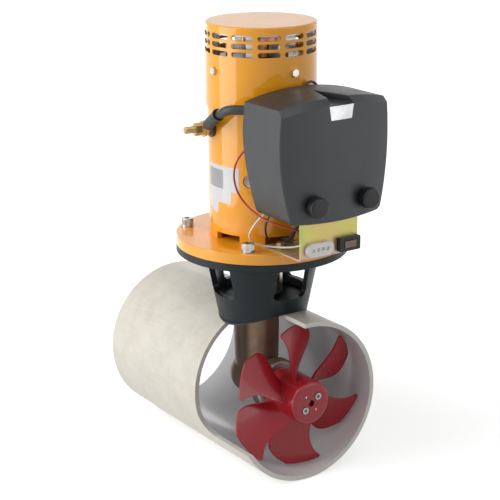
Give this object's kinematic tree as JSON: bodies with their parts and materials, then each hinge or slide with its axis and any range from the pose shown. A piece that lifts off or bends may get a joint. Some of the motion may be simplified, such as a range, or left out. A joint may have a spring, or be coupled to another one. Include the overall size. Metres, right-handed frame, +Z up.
{
  "type": "bow thruster",
  "caption": "Electric bow thruster: upright motor on a flanged bracket, clamped through the wall of a short round tunnel with a multi-blade propeller, and a control box on its side.",
  "frame": {"origin": "where the tunnel's axis crosses the motor's axis", "axes": "+Y along the tunnel, away from the propeller; +Z up the motor; +X to the right, facing the control box"},
  "size_m": [0.205, 0.3644, 0.537],
  "materials": {
    "glass_fibre": "glossy inside, rough laminate outside",
    "bracket_paint": "satin dark grey paint on cast aluminium",
    "bronze": "cast, satin",
    "zinc": "cast, matte",
    "red_plastic": "satin glass-filled plastic",
    "yellow_paint": "glossy enamel",
    "stainless": "bright",
    "zinc_plated": "zinc plated",
    "gear_steel": "ground and oiled",
    "bearing_steel": "ground",
    "seal_rubber": "matte",
    "spider_rubber": "matte",
    "core_iron": "stacked sheet",
    "copper": "enamelled",
    "carbon": "pressed carbon",
    "motor_black": "black stove enamel",
    "insulator": "moulded phenolic",
    "cable_black": "smooth PVC",
    "wire_red": "smooth PVC",
    "wire_white": "smooth PVC",
    "passivated_plate": "yellow passivated zinc",
    "box_plastic": "fine grained",
    "socket_plastic": "moulded",
    "fuse_plastic": "translucent moulding",
    "badge": "satin, left bare"
  },
  "bodies": {
    "base": {"tunnel": "glass_fibre", "saddle_gasket": "seal_rubber", "mounting_bracket": "bracket_paint", "tail_bolts": "stainless", "tail_piece": "bronze", "tail_cap": "bronze", "anode_ring": "zinc", "gear_case_bearings": "bearing_steel", "propeller_seal": "seal_rubber", "bearing_spacer": "zinc_plated", "drive_seal": "seal_rubber", "motor_flange": "yellow_paint", "flange_washers": "stainless", "flange_bolts": "stainless", "motor_yoke": "yellow_paint", "pole_shoes": "core_iron", "field_coils": "copper", "motor_bearings": "bearing_steel", "end_bracket": "yellow_paint", "brush_holders": "stainless", "brushes": "carbon", "motor_cap": "yellow_paint", "cap_screws": "zinc_plated", "terminal_insulator": "insulator", "terminal_stud": "stainless", "terminal_nuts": "stainless", "cable_lug": "copper", "cable_sleeve": "cable_black", "power_cable": "cable_black", "control_plate": "passivated_plate", "press_nuts": "zinc_plated", "plate_screws": "zinc_plated", "contactor": "socket_plastic", "contactor_studs": "copper", "connector": "socket_plastic", "fuse_holder": "socket_plastic", "red_wire": "wire_red", "black_wire": "cable_black", "white_wire": "wire_white", "harness_cable": "cable_black", "bridge_lead": "cable_black"},
    "rotor": {"bevel_pinion": "gear_steel", "drive_shaft": "stainless", "coupling_lower_hub": "zinc_plated", "coupling_upper_hub": "zinc_plated", "coupling_spider": "spider_rubber", "armature_core": "core_iron", "armature_windings": "copper", "commutator": "copper", "motor_shaft": "gear_steel"},
    "propeller_unit": {"propeller": "red_plastic", "propeller_screws": "stainless", "drive_dowels": "stainless", "propeller_shaft": "stainless", "bevel_gear": "gear_steel"},
    "cover_unit": {"cover": "box_plastic", "badge_plate": "badge"},
    "knob_left_unit": {"knob_left": "socket_plastic"},
    "knob_right_unit": {"knob_right": "socket_plastic"},
    "fuse_unit": {"fuse": "fuse_plastic"}
  },
  "joints": [
    {"name": "motor_spin", "type": "hinge", "parent": "base", "child": "rotor", "pos_m": [0, 0, 0], "axis": [0, 0, 1], "continuous": true},
    {"name": "propeller_spin", "type": "hinge", "parent": "base", "child": "propeller_unit", "pos_m": [0, 0, 0], "axis": [0, 1, 0], "continuous": true},
    {"name": "cover_slide", "type": "slide", "parent": "base", "child": "cover_unit", "axis": [0, -1, 0], "range_m": [0, 0.12]},
    {"name": "knob_left_turn", "type": "hinge", "parent": "cover_unit", "child": "knob_left_unit", "pos_m": [-0.0357, -0.14, 0.2565], "axis": [0, 1, 0], "range_deg": [-1080, 0]},
    {"name": "knob_right_turn", "type": "hinge", "parent": "cover_unit", "child": "knob_right_unit", "pos_m": [0.0357, -0.14, 0.2565], "axis": [0, 1, 0], "range_deg": [-1080, 0]},
    {"name": "fuse_pull", "type": "slide", "parent": "base", "child": "fuse_unit", "axis": [0, -1, 0], "range_m": [0, 0.02]}
  ],
  "couplings": [
    {"joint": "propeller_spin", "follows": "motor_spin", "ratio": 0.70588}
  ]
}
